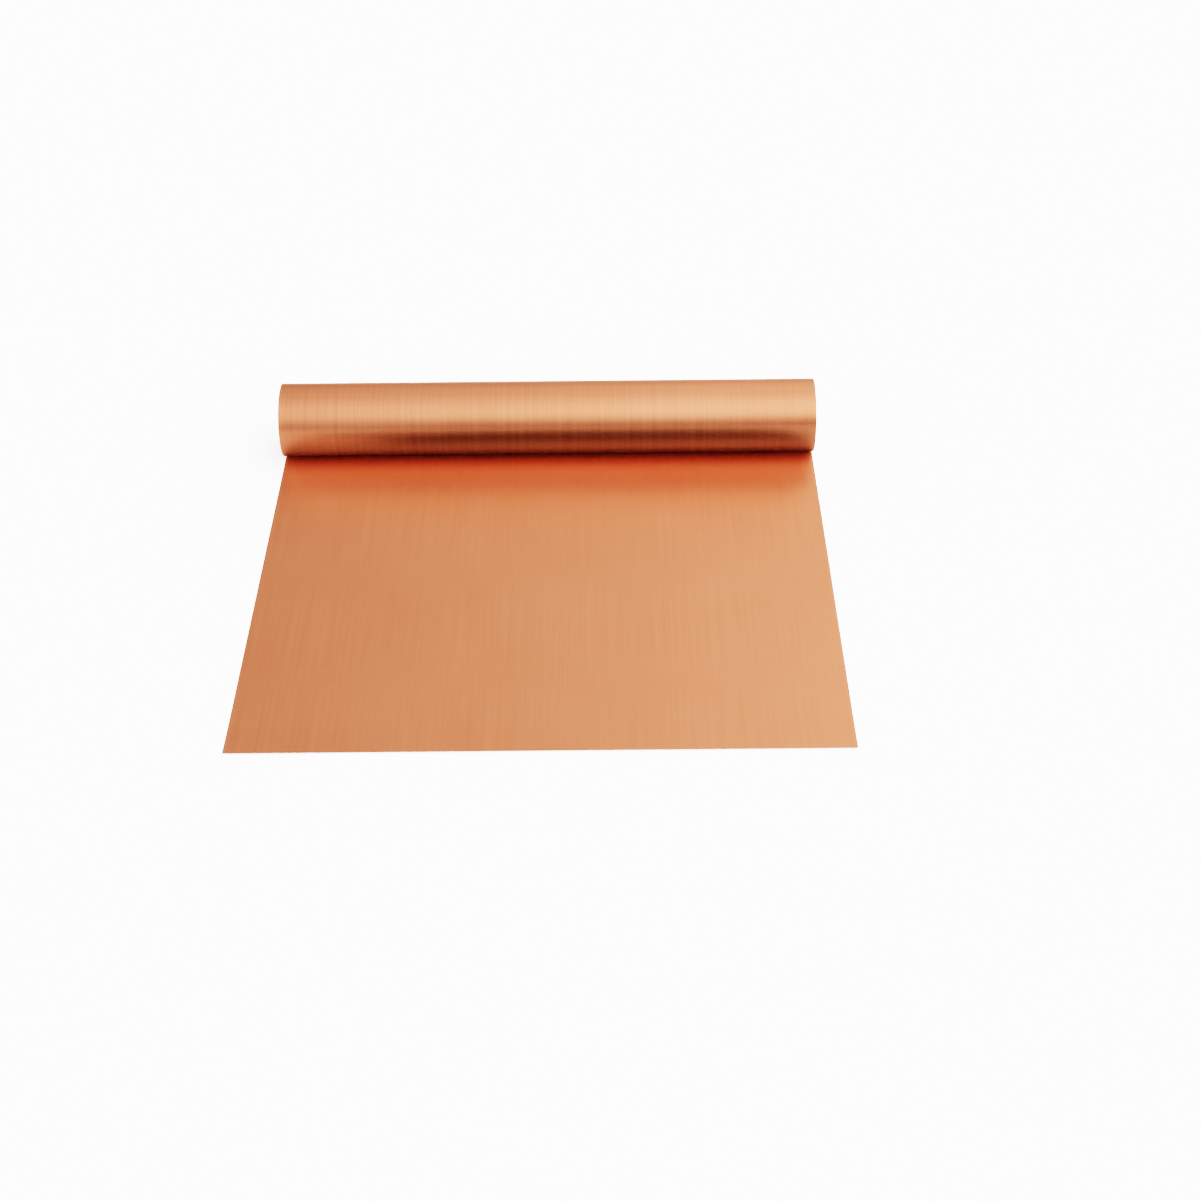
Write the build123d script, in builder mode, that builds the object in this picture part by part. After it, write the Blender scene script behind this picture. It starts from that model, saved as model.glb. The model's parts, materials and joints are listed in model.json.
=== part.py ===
from build123d import *
import math
import os

# A roll of plain copper foil, wound on a paper core and partly unrolled on a table.
#
# The foil is one long strip. From its cut front edge it lies flat on the table, lifts off
# the table under the roll, runs up the back of the roll, over the top and down the front,
# and tucks in above the flat foil for its next lap. All lengths are in millimetres.
#
# Frame: +X runs along the roll, +Z is up, and the roll stands towards +Y, at the back.
# The origin is on the table, in the middle of the whole object's footprint.

# Driving dimensions
foil_width = 305.0
foil_thickness = 0.127
roll_diameter = 42.0
laid_length = 262.0
core_bore_diameter = 19.0
core_wall = 2.2
tape_thickness = 0.1
tape_width = 19.0
tape_angle = 50.0
tape_count = 3
tape_spacing = 120.0
running_clearance = 0.05
nip_angle = 6.0

# Sizes that follow from them
roll_radius = roll_diameter / 2
core_bore_radius = core_bore_diameter / 2
core_radius = core_bore_radius + core_wall
coil_inner_radius = core_radius + tape_thickness

# The flat foil and the roll's back stand the same distance each side of the origin.
lift_y = (laid_length - roll_radius) / 2
front_y = lift_y - laid_length

# The outer lap is a two-centre spiral: a half circle up the back about a centre at
# roll_radius, then a smaller one down the front about a centre half a thickness higher,
# so that after one turn the lap is one thickness further in.
back_centre = (lift_y, roll_radius)
front_centre = (lift_y, roll_radius + foil_thickness / 2)
front_outer_radius = roll_radius - foil_thickness / 2
front_inner_radius = front_outer_radius - foil_thickness

# The wound stock turns inside the outer lap, about the front half's centre.
roll_axis = front_centre
coil_radius = front_inner_radius - running_clearance

TOP = 90
BOTTOM = -90
FRONT_ARC = 180 - nip_angle


def save(piece, name):
    """Labels a finished piece and writes it to its own file."""
    piece.part.label = name
    export_step(piece.part, f"parts/{name}.step")


def tube(outer_radius, inner_radius):
    """A round tube as wide as the foil, about the roll's axis."""
    with BuildPart() as piece:
        with BuildSketch(Plane.YZ):
            with Locations(roll_axis):
                Circle(outer_radius)
                Circle(inner_radius, mode=Mode.SUBTRACT)
        extrude(amount=foil_width / 2, both=True)
    return piece


os.makedirs("parts", exist_ok=True)

# Laid foil: the flat foil on the table, from the cut edge to the line where it lifts.
with BuildPart() as laid_foil:
    with BuildSketch(Plane.XY):
        with Locations((0, (front_y + lift_y) / 2)):
            Rectangle(foil_width, laid_length)
    extrude(amount=foil_thickness)
save(laid_foil, "laid_foil")

# Outer lap: one turn of foil around the roll. Its inner end stops just short of the
# bottom, where the next lap carries on inside the wound stock.
with BuildPart() as outer_lap:
    with BuildSketch(Plane.YZ):
        with BuildLine():
            back_outer = CenterArc(back_centre, roll_radius, BOTTOM, 180)
            front_outer = CenterArc(front_centre, front_outer_radius, TOP, FRONT_ARC)
            back_inner = CenterArc(back_centre, roll_radius - foil_thickness, BOTTOM, 180)
            front_inner = CenterArc(front_centre, front_inner_radius, TOP, FRONT_ARC)
            Line(back_outer @ 0, back_inner @ 0)
            Line(front_outer @ 1, front_inner @ 1)
        make_face()
    extrude(amount=foil_width / 2, both=True)
save(outer_lap, "outer_lap")

# Foil coil: the rest of the stock, wound tight on the core.
foil_coil = tube(coil_radius, coil_inner_radius)
save(foil_coil, "foil_coil")

# Core tube: the paper tube that the foil is wound on. Its bore takes a dispenser's rod.
core_tube = tube(core_radius, core_bore_radius)
save(core_tube, "core_tube")

# Starter tape: short strips of double-sided tape that hold the foil's first edge to the
# core, evenly spaced along it.
with BuildPart() as starter_tape:
    first_x = -tape_spacing * (tape_count - 1) / 2
    for number in range(tape_count):
        strip_x = first_x + number * tape_spacing
        with BuildSketch(Plane.YZ.offset(strip_x)):
            with BuildLine():
                start = TOP - tape_angle / 2
                outside = CenterArc(roll_axis, coil_inner_radius, start, tape_angle)
                inside = CenterArc(roll_axis, core_radius, start, tape_angle)
                Line(outside @ 0, inside @ 0)
                Line(outside @ 1, inside @ 1)
            make_face()
        extrude(amount=tape_width / 2, both=True)
save(starter_tape, "starter_tape")

# Figures for the record: where the roll's axis is, and how much foil the roll holds.
foil_section = foil_width * foil_thickness
foil_volume = laid_foil.part.volume + outer_lap.part.volume + foil_coil.part.volume
turn_per_metre = 1000 / roll_radius
print("roll axis y, z:", roll_axis)
print("front edge y:", front_y, "lift line y:", lift_y)
print("foil on the roll and laid out, mm:", round(foil_volume / foil_section))
print("roll turns by, rad per m of travel:", round(turn_per_metre, 6))
print("degrees for 250 mm of travel:", round(math.degrees(0.25 * turn_per_metre), 3))
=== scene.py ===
import json
import math

import bmesh
import bpy
from bpy.props import FloatProperty, FloatVectorProperty, IntProperty, PointerProperty
from mathutils import Matrix, Vector, noise


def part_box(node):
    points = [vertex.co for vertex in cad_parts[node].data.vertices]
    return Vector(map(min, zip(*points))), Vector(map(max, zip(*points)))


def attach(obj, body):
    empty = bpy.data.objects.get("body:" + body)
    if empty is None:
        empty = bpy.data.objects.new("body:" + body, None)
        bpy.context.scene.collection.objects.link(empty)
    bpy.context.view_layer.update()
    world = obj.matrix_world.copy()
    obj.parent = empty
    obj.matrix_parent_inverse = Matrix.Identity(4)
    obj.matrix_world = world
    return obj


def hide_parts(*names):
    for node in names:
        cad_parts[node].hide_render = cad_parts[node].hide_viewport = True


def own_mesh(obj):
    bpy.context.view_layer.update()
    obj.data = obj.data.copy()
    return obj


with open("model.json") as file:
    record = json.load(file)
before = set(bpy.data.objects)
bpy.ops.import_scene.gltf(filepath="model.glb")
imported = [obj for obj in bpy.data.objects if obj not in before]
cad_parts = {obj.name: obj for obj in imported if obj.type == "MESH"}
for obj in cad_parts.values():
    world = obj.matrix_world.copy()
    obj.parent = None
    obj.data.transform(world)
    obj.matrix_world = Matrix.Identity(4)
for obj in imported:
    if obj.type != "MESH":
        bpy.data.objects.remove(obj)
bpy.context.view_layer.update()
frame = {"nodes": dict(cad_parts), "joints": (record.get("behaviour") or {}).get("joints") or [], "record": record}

bl_info = {
    "name": "Copper Foil Roll",
    "version": (1, 0, 0),
    "blender": (4, 5, 0),
    "location": "3D View > Sidebar > Foil Roll",
    "description": "Builds a roll of copper foil on a paper core, partly unrolled on a table",
    "category": "Add Mesh",
}

# Everything is in metres. +X runs along the roll, +Z is up, the roll stands towards +Y, and
# the table's top is at z = 0.
FOIL_LOW, FOIL_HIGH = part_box("laid_foil")
LAP_LOW, LAP_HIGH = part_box("outer_lap")
COIL_LOW, COIL_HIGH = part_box("foil_coil")
CORE_LOW, CORE_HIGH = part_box("core_tube")
TAPE_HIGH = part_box("starter_tape")[1]
JOINTS = {joint["name"]: joint for joint in frame["joints"]}
MOUNTS = {mount["name"]: mount for mount in frame["record"]["mounts"]}

FOIL_WIDTH = FOIL_HIGH.x - FOIL_LOW.x
FOIL_THICKNESS = FOIL_HIGH.z - FOIL_LOW.z
LAID_LENGTH = FOIL_HIGH.y - FOIL_LOW.y
FRONT_Y = FOIL_LOW.y
LIFT_Y = FOIL_HIGH.y
ROLL_RADIUS = (LAP_HIGH.z - LAP_LOW.z) / 2
COIL_RADIUS = (COIL_HIGH.z - COIL_LOW.z) / 2
CORE_RADIUS = (CORE_HIGH.z - CORE_LOW.z) / 2
BORE_RADIUS = MOUNTS["core_bore"]["dims"]["r_mm"] / 1000

# The outer lap's back half turns about one centre and its front half about another, half a
# foil's thickness higher, so that it ends one thickness further in. The coil turns about the
# second.
BACK_CENTRE = Vector((0, LIFT_Y, ROLL_RADIUS))
ROLL_AXIS = Vector(JOINTS["coil_turn"]["pos_m"])
COIL_INNER_RADIUS = TAPE_HIGH.z - ROLL_AXIS.z
ALONG_X = Vector((1, 0, 0))
HALF_TURN = math.pi
FULL_TURN = 2 * math.pi
MM = 0.001
SHARP_ANGLE = math.radians(35)
MERGE_DISTANCE = 0.001 * MM


# Settings

class FoilSettings(bpy.types.PropertyGroup):
    """The foil's own shape"""

    ripple: FloatProperty(
        name="Ripple", description="How far the laid foil's waves rise off the table",
        default=0.22 * MM, min=0, unit="LENGTH", precision=5)
    front_curl: FloatProperty(
        name="Front curl", description="How far the cut front edge lifts off the table",
        default=0.5 * MM, min=0, unit="LENGTH", precision=5)
    nip_angle: FloatProperty(
        name="Nip angle", description="How far before the bottom the outer lap tucks in",
        default=math.radians(6), min=0, subtype="ANGLE")
    lap_swell: FloatProperty(
        name="Lap swell", description="How far the outer lap stands off the coil in places",
        default=0.08 * MM, min=0, unit="LENGTH", precision=5)


class CoilSettings(bpy.types.PropertyGroup):
    """The wound stock"""

    lap_pitch: FloatProperty(
        name="Lap pitch", description="From one lap to the next, foil and air together",
        default=0.132 * MM, min=0.128 * MM, unit="LENGTH", precision=6)
    lap_steps: IntProperty(
        name="Steps per lap", description="Flat stretches in one turn of the foil",
        default=96, min=24)
    end_recess: FloatProperty(
        name="End recess", description="How far the coil's ends lie inside the outer lap's",
        default=0.3 * MM, min=0, unit="LENGTH", precision=5)
    end_wander: FloatProperty(
        name="End wander", description="How far the laps' edges stray sideways",
        default=0.25 * MM, min=0, unit="LENGTH", precision=5)


class CoreSettings(bpy.types.PropertyGroup):
    """The paper core tube"""

    plies: IntProperty(
        name="Plies", description="Layers of board that show at the tube's ends",
        default=4, min=1)
    ply_groove: FloatProperty(
        name="Ply groove", description="Depth of the lines between the plies at the ends",
        default=0.12 * MM, min=0, unit="LENGTH", precision=5)
    end_recess: FloatProperty(
        name="End recess", description="How far the tube's ends lie inside the foil's",
        default=0.8 * MM, min=0, unit="LENGTH", precision=5)


class FinishSettings(bpy.types.PropertyGroup):
    """Colours and gloss"""

    copper_deep: FloatVectorProperty(
        name="Copper, deep", description="Colour of the foil in the hollows of its grain",
        default=(0.84, 0.235, 0.115), min=0, max=1, size=3, subtype="COLOR")
    copper_pale: FloatVectorProperty(
        name="Copper, pale", description="Colour of the foil where it is burnished",
        default=(0.96, 0.30, 0.155), min=0, max=1, size=3, subtype="COLOR")
    # Painted reflection: a paler copper that the foil shows only where other foil mirrors it
    painted_copper_reflection: FloatVectorProperty(
        name="Copper seen in copper", description="Colour of the foil where other foil mirrors it",
        default=(0.87, 0.62, 0.55), min=0, max=1, size=3, subtype="COLOR")
    grazing_tint: FloatVectorProperty(
        name="Grazing tint", description="Colour of the foil's sheen where it is seen edge on",
        default=(1.0, 0.84, 0.72), min=0, max=1, size=3, subtype="COLOR")
    board: FloatVectorProperty(
        name="Board", description="Colour of the core's kraft board",
        default=(0.36, 0.22, 0.12), min=0, max=1, size=3, subtype="COLOR")
    tape: FloatVectorProperty(
        name="Tape", description="Colour of the tissue tape on the core",
        default=(0.72, 0.66, 0.5), min=0, max=1, size=3, subtype="COLOR")
    table: FloatVectorProperty(
        name="Table", description="Colour of the table where the foil mirrors it",
        default=(0.82, 0.82, 0.82), min=0, max=1, size=3, subtype="COLOR")
    foil_roughness: FloatProperty(
        name="Foil roughness", description="How far the foil blurs what it mirrors",
        default=0.38, min=0, max=1, subtype="FACTOR")
    hairline_spread: FloatProperty(
        name="Hairline spread", description="How much more the foil blurs across its hairlines",
        default=0.45, min=0, max=1, subtype="FACTOR")


class StageSettings(bpy.types.PropertyGroup):
    """The camera and the light"""

    camera_back: FloatProperty(
        name="Camera back", description="From the lift line to the camera, level",
        default=0.9698, unit="LENGTH")
    camera_height: FloatProperty(
        name="Camera height", description="From the table to the camera",
        default=0.6445, unit="LENGTH")
    camera_right: FloatProperty(
        name="Camera right", description="From the roll's middle to the camera, along it",
        default=0.032, unit="LENGTH", precision=4)
    camera_pitch: FloatProperty(
        name="Camera pitch", description="How far the camera looks down",
        default=math.radians(38), subtype="ANGLE")
    camera_heading: FloatProperty(
        name="Camera heading", description="How far the camera turns to the right",
        default=math.radians(-0.18), subtype="ANGLE")
    camera_tilt: FloatProperty(
        name="Camera tilt", description="How far the camera leans over",
        default=math.radians(-0.65), subtype="ANGLE")
    focal_length: FloatProperty(
        name="Focal length", description="The lens, on a sensor 36 mm wide",
        default=59.7, unit="CAMERA")
    table_size: FloatProperty(
        name="Table size", description="Width of the table's square top",
        default=12.0, unit="LENGTH")


# Meshes

def write_uv(bm, place):
    """Gives every face corner the UV that place() works out from its vertex."""
    layer = bm.loops.layers.uv.new("foil_length")
    for face in bm.faces:
        for loop in face.loops:
            loop[layer].uv = place(loop.vert.co)


def add_piece(name, bm, material, body, node):
    """Turns a finished bmesh into a piece that stands for a CAD node and rides on a body."""
    for face in bm.faces:
        face.smooth = True
    for edge in bm.edges:
        edge.smooth = len(edge.link_faces) == 2 and edge.calc_face_angle() < SHARP_ANGLE
    mesh = bpy.data.meshes.new(name)
    bm.to_mesh(mesh)
    bm.free()
    mesh.materials.append(material)
    piece = bpy.data.objects.new(name, mesh)
    bpy.context.scene.collection.objects.link(piece)
    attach(piece, body)
    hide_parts(node)
    return piece


def thicken(bm, thickness):
    """Gives an open skin a wall on the side away from its normals, and closes its rim."""
    bmesh.ops.solidify(bm, geom=bm.faces[:], thickness=thickness)
    bmesh.ops.recalc_face_normals(bm, faces=bm.faces[:])


def smooth_step(value, start, end):
    """0 before start, 1 after end, and a smooth rise between them."""
    share = min(1.0, max(0.0, (value - start) / (end - start)))
    return share * share * (3 - 2 * share)


def wave(*place):
    """A smooth random value from 0 to 1, the same at the same place each time."""
    return 0.5 + 0.5 * noise.noise(Vector(place))


# Materials

def new_group(name, inputs, outputs):
    """A shader node group with its sockets: inputs are (type, name, default)."""
    group = bpy.data.node_groups.new(name, "ShaderNodeTree")
    for kind, socket, default in inputs:
        made = group.interface.new_socket(socket, in_out="INPUT", socket_type=kind)
        if default is not None:
            made.default_value = default
    for kind, socket in outputs:
        group.interface.new_socket(socket, in_out="OUTPUT", socket_type=kind)
    return group, group.nodes.new("NodeGroupInput"), group.nodes.new("NodeGroupOutput")


def feed(tree, value, socket):
    """Links value to socket if it is a socket, and sets it there if it is a number."""
    if isinstance(value, bpy.types.NodeSocket):
        tree.links.new(value, socket)
    else:
        socket.default_value = value


def math_node(tree, operation, *values):
    """One Math node; gives its output."""
    node = tree.nodes.new("ShaderNodeMath")
    node.operation = operation
    for value, socket in zip(values, node.inputs):
        feed(tree, value, socket)
    return node.outputs[0]


def stretch_node(tree, vector, x, y, z):
    """A vector with each part multiplied; gives the output."""
    factors = tree.nodes.new("ShaderNodeCombineXYZ")
    for value, socket in zip((x, y, z), factors.inputs):
        feed(tree, value, socket)
    node = tree.nodes.new("ShaderNodeVectorMath")
    node.operation = "MULTIPLY"
    tree.links.new(vector, node.inputs[0])
    tree.links.new(factors.outputs[0], node.inputs[1])
    return node.outputs[0]


def noise_node(tree, vector, scale, detail):
    """Smooth noise from 0 to 1; gives the output."""
    node = tree.nodes.new("ShaderNodeTexNoise")
    node.noise_dimensions = "3D"
    tree.links.new(vector, node.inputs["Vector"])
    feed(tree, scale, node.inputs["Scale"])
    feed(tree, detail, node.inputs["Detail"])
    return node.outputs["Fac"]


def range_node(tree, value, before, after=(0.0, 1.0)):
    """Maps a value from one range to another and clamps it; gives the output."""
    node = tree.nodes.new("ShaderNodeMapRange")
    for item, socket in zip((value, *before, *after), node.inputs):
        feed(tree, item, socket)
    return node.outputs[0]


def blend_node(tree, share, first, second):
    """Goes from one number to another as share goes from 0 to 1; gives the output."""
    return range_node(tree, share, (0.0, 1.0), (first, second))


def mix_colour_node(tree, share, first, second):
    """Mixes two colours; gives the output."""
    node = tree.nodes.new("ShaderNodeMix")
    node.data_type = "RGBA"
    feed(tree, share, node.inputs["Factor"])
    for colour, name in ((first, "A"), (second, "B")):
        socket = next(s for s in node.inputs if s.name == name and s.type == "RGBA")
        feed(tree, colour, socket)
    return next(s for s in node.outputs if s.type == "RGBA")


def place_group(tree, name, **values):
    """Places a shared group in a material with its own values."""
    node = tree.nodes.new("ShaderNodeGroup")
    node.node_tree = bpy.data.node_groups[name]
    for socket, value in values.items():
        feed(tree, value, node.inputs[socket.replace("_", " ")])
    return node


def build_rolled_grain():
    """Lines that rolling and winding leave in foil, lengthwise and faintly crosswise."""
    group, inside, outside = new_group(
        "rolled_grain",
        [("NodeSocketVector", "Place", None),
         ("NodeSocketFloat", "Line pitch", 1.1 * MM),
         ("NodeSocketFloat", "Line length", 90 * MM),
         ("NodeSocketFloat", "Cross share", 0.3)],
        [("NodeSocketFloat", "Height"), ("NodeSocketFloat", "Streak")])
    pins_per_line = 1.6
    pin_share = 0.35
    faintest, strongest = 0.35, 0.95
    place = inside.outputs["Place"]
    across = math_node(group, "DIVIDE", 1.0, inside.outputs["Line pitch"])
    along = math_node(group, "DIVIDE", 1.0, inside.outputs["Line length"])
    drawn_out = stretch_node(group, place, across, along, 1.0)
    lengthwise = noise_node(group, drawn_out, scale=1.0, detail=3.0)
    drawn_across = stretch_node(group, place, along, across, 1.0)
    crosswise = noise_node(group, drawn_across, scale=1.0, detail=2.0)
    pin_scale = math_node(group, "MULTIPLY", across, pins_per_line)
    pins = noise_node(group, place, scale=pin_scale, detail=1.0)
    cross = math_node(group, "MULTIPLY", crosswise, inside.outputs["Cross share"])
    lines = math_node(group, "ADD", lengthwise, cross)
    height = math_node(group, "MULTIPLY_ADD", pins, pin_share, lines)
    group.links.new(height, outside.inputs["Height"])
    streak = range_node(group, lines, (faintest, strongest))
    group.links.new(streak, outside.inputs["Streak"])


def build_tone_drift():
    """Slow, cloudy drift in a metal's tone, from handling and from air."""
    group, inside, outside = new_group(
        "tone_drift",
        [("NodeSocketVector", "Place", None), ("NodeSocketFloat", "Cloud size", 60 * MM)],
        [("NodeSocketFloat", "Drift")])
    scale = math_node(group, "DIVIDE", 1.0, inside.outputs["Cloud size"])
    clouds = noise_node(group, inside.outputs["Place"], scale, detail=3.0)
    thinnest, thickest = 0.3, 0.7
    drift = range_node(group, clouds, (thinnest, thickest))
    group.links.new(drift, outside.inputs["Drift"])


def build_edge_burnish():
    """A band along the foil's two slit edges, where the slitter and handling rub it."""
    group, inside, outside = new_group(
        "edge_burnish",
        [("NodeSocketVector", "Place", None),
         ("NodeSocketFloat", "Half width", FOIL_WIDTH / 2),
         ("NodeSocketFloat", "Band", 2 * MM)],
        [("NodeSocketFloat", "Rub")])
    fully_rubbed, untouched = 0.2, 1.4
    parts = group.nodes.new("ShaderNodeSeparateXYZ")
    group.links.new(inside.outputs["Place"], parts.inputs[0])
    distance = math_node(group, "ABSOLUTE", parts.outputs["X"])
    inset = math_node(group, "SUBTRACT", inside.outputs["Half width"], distance)
    share = math_node(group, "DIVIDE", inset, inside.outputs["Band"])
    patches = noise_node(group, inside.outputs["Place"], scale=140.0, detail=3.0)
    wear = math_node(group, "ADD", share, patches)
    rub = range_node(group, wear, (fully_rubbed, untouched), (1.0, 0.0))
    group.links.new(rub, outside.inputs["Rub"])


def build_painted_mirror_shade():
    """Painted shade on the foil where other foil mirrors it: its colour there is dimmed on the table, less so by
    the nip and at the left end, and left full on the roll."""
    group, inside, outside = new_group(
        "painted_mirror_shade",
        [("NodeSocketVector", "Place", None),
         ("NodeSocketFloat", "Near", 0.24),
         ("NodeSocketFloat", "Far", 0.06),
         ("NodeSocketFloat", "Left", 0.65)],
        [("NodeSocketFloat", "Shade")])
    nip_end = (6 * MM, 18 * MM)
    near_end = (26 * MM, 50 * MM)
    left_end = (-125 * MM, -80 * MM)
    nip_share = 0.3
    left_gain = 1.4
    parts = group.nodes.new("ShaderNodeSeparateXYZ")
    group.links.new(inside.outputs["Place"], parts.inputs[0])
    distance = math_node(group, "SUBTRACT", LIFT_Y, parts.outputs["Y"])
    # Painted light: the left end is painted lighter in what other foil mirrors
    left = range_node(group, parts.outputs["X"], left_end, (1.0, 0.0))
    gain = blend_node(group, left, 1.0, left_gain)
    full = math_node(group, "MULTIPLY", inside.outputs["Near"], gain)
    # Painted shade: the first millimetres by the nip are painted darker in reflections
    in_nip = math_node(group, "MULTIPLY", full, nip_share)
    near = range_node(group, distance, nip_end, (in_nip, full))
    far = blend_node(group, left, inside.outputs["Far"], inside.outputs["Left"])
    # Painted shade: further out on the table the foil is painted darkest in reflections
    away = range_node(group, distance, near_end)
    on_table = blend_node(group, away, near, far)
    on_roll = math_node(group, "LESS_THAN", distance, 0.0)
    shade = blend_node(group, on_roll, on_table, 1.0)
    group.links.new(shade, outside.inputs["Shade"])


def new_material(name):
    """A material with an empty tree but for its shader and output."""
    material = bpy.data.materials.new(name)
    material.use_nodes = True
    tree = material.node_tree
    return material, tree, tree.nodes["Principled BSDF"]


def from_axis(tree):
    """A piece's place measured from the middle of the roll's axis; gives the output."""
    coordinates = tree.nodes.new("ShaderNodeTexCoord")
    centred = tree.nodes.new("ShaderNodeMapping")
    centred.inputs["Location"].default_value = -ROLL_AXIS
    tree.links.new(coordinates.outputs["Object"], centred.inputs["Vector"])
    return centred.outputs["Vector"]


def opaque(colour, factor=1.0):
    """A colour made darker or lighter by a factor, with an alpha of 1."""
    return (*(factor * part for part in colour), 1)


def bump_node(tree, height, distance, strength):
    """A Bump node; gives its normal."""
    node = tree.nodes.new("ShaderNodeBump")
    node.inputs["Strength"].default_value = strength
    node.inputs["Distance"].default_value = distance
    tree.links.new(height, node.inputs["Height"])
    return node.outputs["Normal"]


def copper_foil(name, place_source, contrast):
    """Satin rolled copper. place_source is "Object" or "UV", whichever follows the foil.
    contrast is how much its hairlines differ in tone."""
    base_tone = 0.3
    drift_share = 0.25
    rub_share = 0.5
    roughness_spread = 0.04
    finish = bpy.context.scene.foil_roll_finish
    material, tree, shader = new_material(name)
    coordinates = tree.nodes.new("ShaderNodeTexCoord")
    place = coordinates.outputs[place_source]
    grain = place_group(tree, "rolled_grain", Place=place)
    drift = place_group(tree, "tone_drift", Place=place)
    rub = place_group(tree, "edge_burnish", Place=place)
    streak = grain.outputs["Streak"]
    tone = blend_node(tree, streak, base_tone - contrast / 2, base_tone + contrast / 2)
    tone = math_node(tree, "MULTIPLY_ADD", drift.outputs["Drift"], drift_share, tone)
    tone = math_node(tree, "MULTIPLY_ADD", rub.outputs["Rub"], rub_share, tone)
    colour = mix_colour_node(tree, tone, opaque(finish.copper_deep), opaque(finish.copper_pale))
    # Painted reflection: where other foil mirrors it once, the foil shows a paler copper darkened by painted
    # shade, and where it is mirrored twice over, the paler copper undimmed
    bounces = tree.nodes.new("ShaderNodeLightPath").outputs["Glossy Depth"]
    shade = place_group(tree, "painted_mirror_shade", Place=place).outputs["Shade"]
    painted_reflection = opaque(finish.painted_copper_reflection)
    painted_shaded_reflection = mix_colour_node(tree, shade, (0, 0, 0, 1), painted_reflection)
    once = math_node(tree, "GREATER_THAN", bounces, 0.5)
    colour = mix_colour_node(tree, once, colour, painted_shaded_reflection)
    twice = math_node(tree, "GREATER_THAN", bounces, 1.5)
    colour = mix_colour_node(tree, twice, colour, painted_reflection)
    tree.links.new(colour, shader.inputs["Base Color"])
    smoothest = finish.foil_roughness - roughness_spread
    roughest = finish.foil_roughness + roughness_spread
    tree.links.new(blend_node(tree, streak, smoothest, roughest), shader.inputs["Roughness"])
    normal = bump_node(tree, grain.outputs["Height"], distance=0.01 * MM, strength=0.25)
    tree.links.new(normal, shader.inputs["Normal"])
    shader.inputs["Metallic"].default_value = 1.0
    shader.inputs["Specular Tint"].default_value = opaque(finish.grazing_tint)
    shader.inputs["Anisotropic"].default_value = finish.hairline_spread
    tangent = tree.nodes.new("ShaderNodeTangent")
    tangent.direction_type = "UV_MAP"
    tree.links.new(tangent.outputs["Tangent"], shader.inputs["Tangent"])
    return material


def copper_edges():
    """The coil's ends: the slit edges of its laps, each a little different in tone."""
    band_share = 0.6
    dullest, brightest = 0.6, 1.05
    finish = bpy.context.scene.foil_roll_finish
    material, tree, shader = new_material("copper_edges")
    flat = stretch_node(tree, from_axis(tree), 0.0, 1.0, 1.0)
    length = tree.nodes.new("ShaderNodeVectorMath")
    length.operation = "LENGTH"
    tree.links.new(flat, length.inputs[0])
    radius = tree.nodes.new("ShaderNodeCombineXYZ")
    tree.links.new(length.outputs["Value"], radius.inputs["X"])
    laps = noise_node(tree, radius.outputs[0], scale=3200.0, detail=2.0)
    bands = noise_node(tree, radius.outputs[0], scale=700.0, detail=2.0)
    rings = math_node(tree, "MULTIPLY_ADD", bands, band_share, laps)
    tone = range_node(tree, rings, (dullest, brightest))
    dark = opaque(finish.copper_deep, 0.62)
    colour = mix_colour_node(tree, tone, dark, opaque(finish.copper_pale))
    tree.links.new(colour, shader.inputs["Base Color"])
    roughness = range_node(tree, rings, (dullest, brightest), (0.5, 0.34))
    tree.links.new(roughness, shader.inputs["Roughness"])
    normal = bump_node(tree, rings, distance=0.05 * MM, strength=0.6)
    tree.links.new(normal, shader.inputs["Normal"])
    shader.inputs["Metallic"].default_value = 1.0
    return material


def kraft_board():
    """Spirally wound kraft board: fibres, and the seam between two turns of the ply."""
    seam_pitch = 48 * MM
    seam_half_width = 0.012
    fibre_stretch = 0.25
    fibre_height = 0.3
    blotch_share = 0.7
    darkest, lightest = 0.55, 1.15
    finish = bpy.context.scene.foil_roll_finish
    material, tree, shader = new_material("kraft_board")
    place = from_axis(tree)
    parts = tree.nodes.new("ShaderNodeSeparateXYZ")
    tree.links.new(place, parts.inputs[0])
    angle = math_node(tree, "ARCTAN2", parts.outputs["Z"], parts.outputs["Y"])
    turns = math_node(tree, "DIVIDE", angle, FULL_TURN)
    along = math_node(tree, "DIVIDE", parts.outputs["X"], seam_pitch)
    winding = math_node(tree, "FRACT", math_node(tree, "ADD", turns, along))
    off_seam = math_node(tree, "ABSOLUTE", math_node(tree, "SUBTRACT", winding, 0.5))
    seam = range_node(tree, off_seam, (0.0, seam_half_width), (1.0, 0.0))
    drawn_out = stretch_node(tree, place, fibre_stretch, 1.0, 1.0)
    fibres = noise_node(tree, drawn_out, scale=2600.0, detail=4.0)
    blotches = noise_node(tree, place, scale=160.0, detail=3.0)
    tone = math_node(tree, "MULTIPLY_ADD", blotches, blotch_share, fibres)
    tone = range_node(tree, tone, (darkest, lightest))
    light = opaque(finish.board, 1.45)
    dark = opaque(finish.board, 0.35)
    colour = mix_colour_node(tree, tone, opaque(finish.board), light)
    colour = mix_colour_node(tree, seam, colour, dark)
    tree.links.new(colour, shader.inputs["Base Color"])
    raised = math_node(tree, "MULTIPLY", fibres, fibre_height)
    height = math_node(tree, "SUBTRACT", raised, seam)
    normal = bump_node(tree, height, distance=0.15 * MM, strength=0.6)
    tree.links.new(normal, shader.inputs["Normal"])
    shader.inputs["Roughness"].default_value = 0.86
    return material


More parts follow.
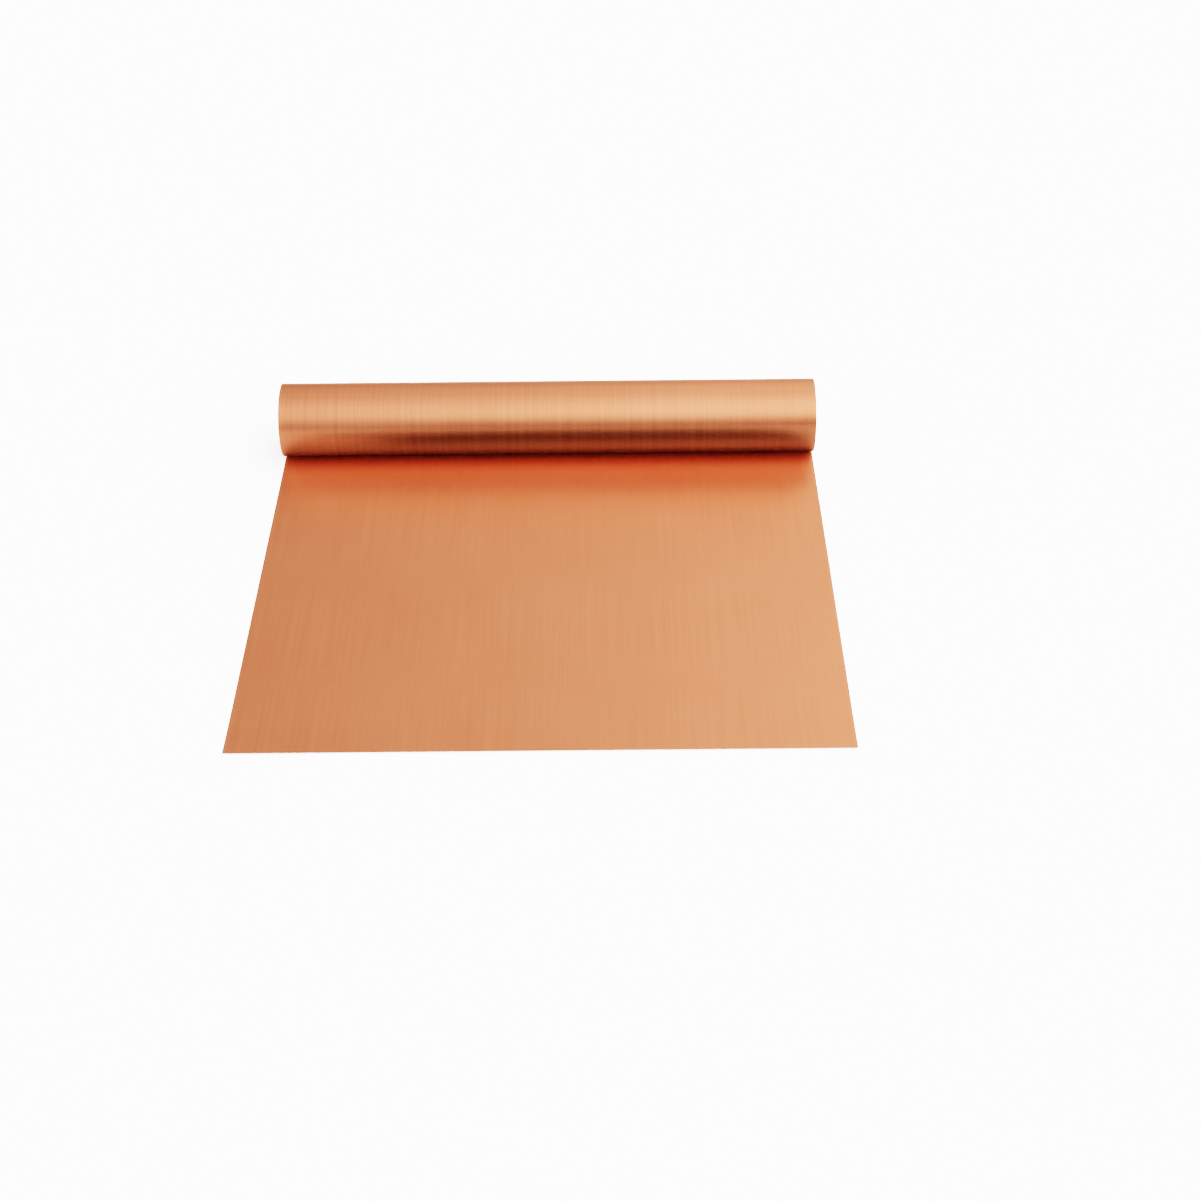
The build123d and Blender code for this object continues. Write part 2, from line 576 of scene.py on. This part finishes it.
def tissue_tape():
    """Thin double-sided tape: milky glue over paper tissue."""
    thinnest, thickest = 0.3, 0.7
    glue_roughness, paper_roughness = 0.35, 0.55
    finish = bpy.context.scene.foil_roll_finish
    material, tree, shader = new_material("tissue_tape")
    coordinates = tree.nodes.new("ShaderNodeTexCoord")
    fibres = noise_node(tree, coordinates.outputs["Object"], scale=1800.0, detail=4.0)
    deep = opaque(finish.tape, 0.8)
    colour = mix_colour_node(tree, fibres, deep, opaque(finish.tape))
    tree.links.new(colour, shader.inputs["Base Color"])
    roughness = range_node(tree, fibres, (thinnest, thickest), (glue_roughness, paper_roughness))
    tree.links.new(roughness, shader.inputs["Roughness"])
    return material


# Operators

class FOILROLL_OT_finishes(bpy.types.Operator):
    """Makes the node groups that the materials share"""

    bl_idname = "foil_roll.finishes"
    bl_label = "Shared Finishes"

    def execute(self, context):
        build_rolled_grain()
        build_tone_drift()
        build_edge_burnish()
        build_painted_mirror_shade()
        return {"FINISHED"}


class FOILROLL_OT_laid_foil(bpy.types.Operator):
    """Lays the loose length of foil flat on the table, from the cut edge to the roll"""

    bl_idname = "foil_roll.laid_foil"
    bl_label = "Laid Foil"

    COLUMNS = 60
    ROWS = 80
    # The ripple sets in between these distances from the roll
    RIPPLE_START = 9 * MM
    RIPPLE_FULL = 90 * MM
    # Waves in a metre, across and along the foil, and a slice of the noise
    BROAD_WAVES = (6, 16, 3.1)
    FINE_WAVES = (17, 31, 8.4)
    FINE_SHARE = 0.25
    CURL_LENGTH = 30 * MM

    def rise(self, settings, place):
        """How far the foil stands off the table at a place."""
        from_roll = LIFT_Y - place.y
        from_front = place.y - FRONT_Y
        broad, fine = (wave(place.x * across, place.y * along, layer)
                       for across, along, layer in (self.BROAD_WAVES, self.FINE_WAVES))
        ripple = broad * (1 - self.FINE_SHARE) + fine * self.FINE_SHARE
        ripple *= smooth_step(from_roll, self.RIPPLE_START, self.RIPPLE_FULL)
        curl = 1 - smooth_step(from_front, 0, self.CURL_LENGTH)
        return settings.ripple * ripple + settings.front_curl * curl * curl

    def execute(self, context):
        settings = context.scene.foil_roll_foil
        bm = bmesh.new()
        bmesh.ops.create_grid(bm, x_segments=self.COLUMNS, y_segments=self.ROWS, size=0.5)
        bmesh.ops.scale(bm, vec=(FOIL_WIDTH, LAID_LENGTH, 1), verts=bm.verts)
        middle = Vector((0, (FRONT_Y + LIFT_Y) / 2, FOIL_THICKNESS))
        bmesh.ops.translate(bm, vec=middle, verts=bm.verts)
        for vert in bm.verts:
            vert.co.z += self.rise(settings, vert.co)
        thicken(bm, FOIL_THICKNESS)
        write_uv(bm, lambda co: (co.x + co.z, co.y + co.z))
        material = copper_foil("copper_laid", "Object", contrast=0.6)
        piece = add_piece("foil_on_table", bm, material, "laid_length", "laid_foil")
        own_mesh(piece)
        return {"FINISHED"}


class FOILROLL_OT_outer_lap(bpy.types.Operator):
    """Takes the foil once round the roll, from the table up the back and down the front"""

    bl_idname = "foil_roll.outer_lap"
    bl_label = "Outer Lap"

    COLUMNS = 60
    HALF_TURN_STEPS = 90
    SEAM_MARGIN = math.radians(3)
    # The swell sets in between these angles from either end of the lap
    SWELL_START = 0.6
    SWELL_FULL = 1.6
    # Waves in a metre along the roll and in a radian round it, and a slice of the noise
    SWELL_WAVES = (14, 0.9, 5.2)

    def freedom(self, angle):
        """How far the lap is free to swell at an angle from one of its ends, from 0 to 1."""
        return smooth_step(angle, self.SWELL_START, self.SWELL_FULL)

    def turned(self, place):
        """The angle that the foil has gone round by at a place, from the lift line."""
        centre = BACK_CENTRE if place.y > LIFT_Y else ROLL_AXIS
        angle = math.atan2(place.z - centre.z, place.y - centre.y) + HALF_TURN / 2
        return angle if angle > -self.SEAM_MARGIN else angle + FULL_TURN

    def unrolled(self, place):
        """A place on the lap as if the foil lay flat, set apart a little through its wall."""
        depth = math.hypot(place.y - ROLL_AXIS.y, place.z - ROLL_AXIS.z) - ROLL_RADIUS
        return place.x + depth, LIFT_Y + self.turned(place) * ROLL_RADIUS + depth

    def execute(self, context):
        settings = context.scene.foil_roll_foil
        bm = bmesh.new()
        ends = [bm.verts.new((side * FOIL_WIDTH / 2, LIFT_Y, 0)) for side in (-1, 1)]
        line = bm.edges.new(ends)
        bmesh.ops.subdivide_edges(bm, edges=[line], cuts=self.COLUMNS - 1)
        back = bmesh.ops.spin(
            bm, geom=bm.verts[:] + bm.edges[:], cent=BACK_CENTRE, axis=ALONG_X,
            angle=HALF_TURN, steps=self.HALF_TURN_STEPS)
        bmesh.ops.spin(
            bm, geom=back["geom_last"], cent=ROLL_AXIS, axis=ALONG_X,
            angle=HALF_TURN - settings.nip_angle, steps=self.HALF_TURN_STEPS)
        bmesh.ops.remove_doubles(bm, verts=bm.verts, dist=MERGE_DISTANCE)
        bmesh.ops.recalc_face_normals(bm, faces=bm.faces[:])
        across, round_roll, layer = self.SWELL_WAVES
        for vert in bm.verts:
            angle = self.turned(vert.co)
            free = self.freedom(angle) * self.freedom(FULL_TURN - angle)
            height = wave(vert.co.x * across, angle * round_roll, layer)
            swell = settings.lap_swell * free * height
            outwards = (vert.co - ROLL_AXIS) * Vector((0, 1, 1))
            vert.co += outwards.normalized() * swell
        thicken(bm, FOIL_THICKNESS)
        write_uv(bm, self.unrolled)
        material = copper_foil("copper_wound", "UV", contrast=1.2)
        add_piece("foil_outer_lap", bm, material, "lap", "outer_lap")
        return {"FINISHED"}


class FOILROLL_OT_foil_coil(bpy.types.Operator):
    """Winds the rest of the foil round the core as one spiral strip"""

    bl_idname = "foil_roll.foil_coil"
    bl_label = "Foil Coil"

    # Waves in a radian within a lap and in a turn from lap to lap
    FINE_WAVES = 0.9
    LAP_WAVES = 0.8
    FINE_SHARE = 0.35

    def stray(self, settings, side, angle):
        """How far a lap's edge lies inside the coil's end, at an angle counted over all laps.
        The other numbers only pick stretches of the noise that differ from each other."""
        fine = wave(angle * self.FINE_WAVES, 4.7, side)
        lap = wave(angle / FULL_TURN * self.LAP_WAVES, 1.3, 6 * side)
        return settings.end_wander * (self.FINE_SHARE * fine + (1 - self.FINE_SHARE) * lap)

    def execute(self, context):
        settings = context.scene.foil_roll_coil
        laps = (COIL_RADIUS - COIL_INNER_RADIUS - FOIL_THICKNESS) / settings.lap_pitch
        steps = round(laps * settings.lap_steps)
        half = FOIL_WIDTH / 2 - settings.end_recess
        bm = bmesh.new()
        bmesh.ops.create_grid(bm, x_segments=1, y_segments=steps, size=0.5)
        # The strip's length runs from -0.5 to 0.5 before it is wound, from the outside in
        for vert in bm.verts:
            side = math.copysign(1, vert.co.x)
            angle = (vert.co.y + 0.5) * laps * FULL_TURN
            radius = COIL_RADIUS - settings.lap_pitch * angle / FULL_TURN
            end = side * (half - self.stray(settings, side, angle))
            spoke = Vector((end, radius * math.sin(angle), -radius * math.cos(angle)))
            vert.co = ROLL_AXIS + spoke
        # The strip's faces are turned outwards, so that its wall goes inwards
        bmesh.ops.reverse_faces(bm, faces=bm.faces[:])
        thicken(bm, FOIL_THICKNESS)
        write_uv(bm, lambda co: (co.x, co.z))
        add_piece("wound_foil", bm, copper_edges(), "roll", "foil_coil")
        return {"FINISHED"}


class FOILROLL_OT_core_tube(bpy.types.Operator):
    """Makes the paper core tube and gives the tape strips on it their finish"""

    bl_idname = "foil_roll.core_tube"
    bl_label = "Core Tube"

    STEPS = 96
    # A vertex this close to where two plies meet, in plies, is on the line between them
    LINE_REACH = 0.25

    def execute(self, context):
        settings = context.scene.foil_roll_core
        half = FOIL_WIDTH / 2 - settings.end_recess
        bm = bmesh.new()
        bmesh.ops.create_grid(bm, x_segments=1, y_segments=1, size=0.5)
        bmesh.ops.scale(bm, vec=(2 * half, CORE_RADIUS - BORE_RADIUS, 1), verts=bm.verts)
        upright = Matrix.Rotation(HALF_TURN / 2, 4, "X")
        bmesh.ops.transform(bm, matrix=upright, verts=bm.verts)
        wall_middle = (CORE_RADIUS + BORE_RADIUS) / 2
        bmesh.ops.translate(bm, vec=ROLL_AXIS + Vector((0, 0, wall_middle)), verts=bm.verts)
        bmesh.ops.delete(bm, geom=bm.faces[:], context="FACES_ONLY")
        ends = [edge for edge in bm.edges if edge.verts[0].co.x * edge.verts[1].co.x > 0]
        bmesh.ops.subdivide_edges(bm, edges=ends, cuts=2 * settings.plies - 1)
        ply = (CORE_RADIUS - BORE_RADIUS) / settings.plies
        for vert in bm.verts:
            layers = (vert.co.z - ROLL_AXIS.z - BORE_RADIUS) / ply
            if abs(layers - round(layers)) < self.LINE_REACH:
                vert.co.x -= math.copysign(settings.ply_groove, vert.co.x)
        bmesh.ops.spin(
            bm, geom=bm.verts[:] + bm.edges[:], cent=ROLL_AXIS, axis=ALONG_X,
            angle=FULL_TURN, steps=self.STEPS, use_merge=True)
        bmesh.ops.remove_doubles(bm, verts=bm.verts, dist=MERGE_DISTANCE)
        bmesh.ops.recalc_face_normals(bm, faces=bm.faces[:])
        write_uv(bm, lambda co: (co.x, co.z))
        add_piece("paper_core", bm, kraft_board(), "roll", "core_tube")
        frame["nodes"]["starter_tape"].material_slots[0].material = tissue_tape()
        return {"FINISHED"}


class FOILROLL_OT_stage(bpy.types.Operator):
    """Sets the table top, the light all round and the camera"""

    bl_idname = "foil_roll.stage"
    bl_label = "Stage"

    TABLE_DROP = 0.1 * MM
    # How bright the camera sees the table and the room behind it, both well past white
    TABLE_WHITE = 4.5
    ROOM_WHITE = 9.0
    # The dome's levels, by the angle in degrees from the front, over the top, to the back
    DOME = ((0, 0.03), (12, 0.08), (25, 0.84), (38, 1.66), (52, 1.66), (75, 1.55),
            (95, 1.1), (115, 0.95), (135, 1.0), (152, 0.95), (180, 0.3))
    # The ramp holds the levels as shares of this one, because it ends at 1
    TOP_LEVEL = 2.0
    # How many times brighter the dome would be a whole radius to the right, and between which
    # distances to either side, in radii, this gain fades out
    RIGHT_GAIN = 15.0
    SIDE_FADE = (0.45, 0.8)
    # A low fill light to the left: its level, the angles over which it dies away upwards, and
    # the distances to the left over which it comes in
    LEFT_FILL = 2.1
    FILL_ANGLES = (math.radians(8), math.radians(40))
    FILL_SIDE = (-0.25, -0.55)
    # In millimetres, as a focal length is
    SENSOR_WIDTH = 36.0

    def table(self, settings, finish):
        """A wide, plain, pale table top."""
        bm = bmesh.new()
        bmesh.ops.create_grid(bm, x_segments=1, y_segments=1, size=settings.table_size / 2)
        bmesh.ops.translate(bm, vec=(0, 0, -self.TABLE_DROP), verts=bm.verts)
        mesh = bpy.data.meshes.new("table_top")
        bm.to_mesh(mesh)
        bm.free()
        material, tree, shader = new_material("pale_table")
        tree.nodes.remove(shader)
        matt = tree.nodes.new("ShaderNodeBsdfDiffuse")
        seen = tree.nodes.new("ShaderNodeLightPath").outputs["Is Camera Ray"]
        bright = opaque((self.TABLE_WHITE,) * 3)
        colour = mix_colour_node(tree, seen, opaque(finish.table), bright)
        tree.links.new(colour, matt.inputs["Color"])
        tree.links.new(matt.outputs[0], tree.nodes["Material Output"].inputs["Surface"])
        mesh.materials.append(material)
        top = bpy.data.objects.new("table_top", mesh)
        bpy.context.scene.collection.objects.link(top)

    def light(self, scene):
        """A soft dome: dark low in front, brightest high in front, fuller on the right, with
        a low fill on the left."""
        world = bpy.data.worlds.new("soft_dome")
        scene.world = world
        world.use_nodes = True
        tree = world.node_tree
        direction = tree.nodes.new("ShaderNodeTexCoord").outputs["Generated"]
        parts = tree.nodes.new("ShaderNodeSeparateXYZ")
        tree.links.new(direction, parts.inputs[0])
        to_front = math_node(tree, "MULTIPLY", parts.outputs["Y"], -1.0)
        angle = math_node(tree, "ARCTAN2", parts.outputs["Z"], to_front)
        share = math_node(tree, "DIVIDE", angle, HALF_TURN)
        ramp = tree.nodes.new("ShaderNodeValToRGB")
        ramp.color_ramp.interpolation = "B_SPLINE"
        elements = ramp.color_ramp.elements
        # A new ramp already has its first and last elements, at 0 and 1
        for degrees, level in self.DOME[1:-1]:
            elements.new(math.radians(degrees) / HALF_TURN)
        for element, (degrees, level) in zip(elements, self.DOME):
            element.color = opaque((level / self.TOP_LEVEL,) * 3)
        tree.links.new(share, ramp.inputs["Fac"])
        level = math_node(tree, "MULTIPLY", ramp.outputs["Color"], self.TOP_LEVEL)
        sideways = math_node(tree, "ABSOLUTE", parts.outputs["X"])
        fade = range_node(tree, sideways, self.SIDE_FADE, (1.0, 0.0))
        side = math_node(tree, "MULTIPLY", parts.outputs["X"], fade)
        gain = math_node(tree, "POWER", self.RIGHT_GAIN, side)
        level = math_node(tree, "MULTIPLY", level, gain)
        low = range_node(tree, angle, self.FILL_ANGLES, (self.LEFT_FILL, 0.0))
        left = range_node(tree, parts.outputs["X"], self.FILL_SIDE, (0.0, fade))
        level = math_node(tree, "MULTIPLY_ADD", low, left, level)
        seen = tree.nodes.new("ShaderNodeLightPath").outputs["Is Camera Ray"]
        white = opaque((self.ROOM_WHITE,) * 3)
        colour = mix_colour_node(tree, seen, level, white)
        tree.links.new(colour, tree.nodes["Background"].inputs["Color"])

    def camera(self, settings, scene):
        """The camera in front of the roll, looking down on it."""
        data = bpy.data.cameras.new("camera")
        data.lens = settings.focal_length
        data.sensor_width = self.SENSOR_WIDTH
        camera = bpy.data.objects.new("camera", data)
        scene.collection.objects.link(camera)
        forward = LIFT_Y - settings.camera_back
        place = Vector((settings.camera_right, forward, settings.camera_height))
        turn = Matrix.Rotation(-settings.camera_heading, 4, "Z")
        look = Matrix.Rotation(HALF_TURN / 2 - settings.camera_pitch, 4, "X")
        lean = Matrix.Rotation(settings.camera_tilt, 4, "Z")
        camera.matrix_world = Matrix.Translation(place) @ turn @ look @ lean
        scene.camera = camera

    def execute(self, context):
        scene = context.scene
        self.table(scene.foil_roll_stage, scene.foil_roll_finish)
        self.light(scene)
        self.camera(scene.foil_roll_stage, scene)
        scene.view_settings.view_transform = "Filmic"
        scene.view_settings.look = "High Contrast"
        return {"FINISHED"}


class FOILROLL_PT_panel(bpy.types.Panel):
    """Lists the steps that build the roll"""

    bl_idname = "FOILROLL_PT_panel"
    bl_label = "Copper Foil Roll"
    bl_space_type = "VIEW_3D"
    bl_region_type = "UI"
    bl_category = "Foil Roll"

    def draw(self, context):
        for operator in OPERATORS:
            self.layout.operator(operator.bl_idname)


SETTINGS = {
    "foil_roll_foil": FoilSettings,
    "foil_roll_coil": CoilSettings,
    "foil_roll_core": CoreSettings,
    "foil_roll_finish": FinishSettings,
    "foil_roll_stage": StageSettings,
}
OPERATORS = (
    FOILROLL_OT_finishes,
    FOILROLL_OT_laid_foil,
    FOILROLL_OT_outer_lap,
    FOILROLL_OT_foil_coil,
    FOILROLL_OT_core_tube,
    FOILROLL_OT_stage,
)


def register():
    for name, group in SETTINGS.items():
        bpy.utils.register_class(group)
        setattr(bpy.types.Scene, name, PointerProperty(type=group))
    for operator in OPERATORS:
        bpy.utils.register_class(operator)
    bpy.utils.register_class(FOILROLL_PT_panel)


def unregister():
    bpy.utils.unregister_class(FOILROLL_PT_panel)
    for operator in reversed(OPERATORS):
        bpy.utils.unregister_class(operator)
    for name, group in reversed(SETTINGS.items()):
        delattr(bpy.types.Scene, name)
        bpy.utils.unregister_class(group)


def main():
    register()
    bpy.ops.foil_roll.finishes()
    bpy.ops.foil_roll.laid_foil()
    bpy.ops.foil_roll.outer_lap()
    bpy.ops.foil_roll.foil_coil()
    bpy.ops.foil_roll.core_tube()
    bpy.ops.foil_roll.stage()


if __name__ == "__main__":
    main()
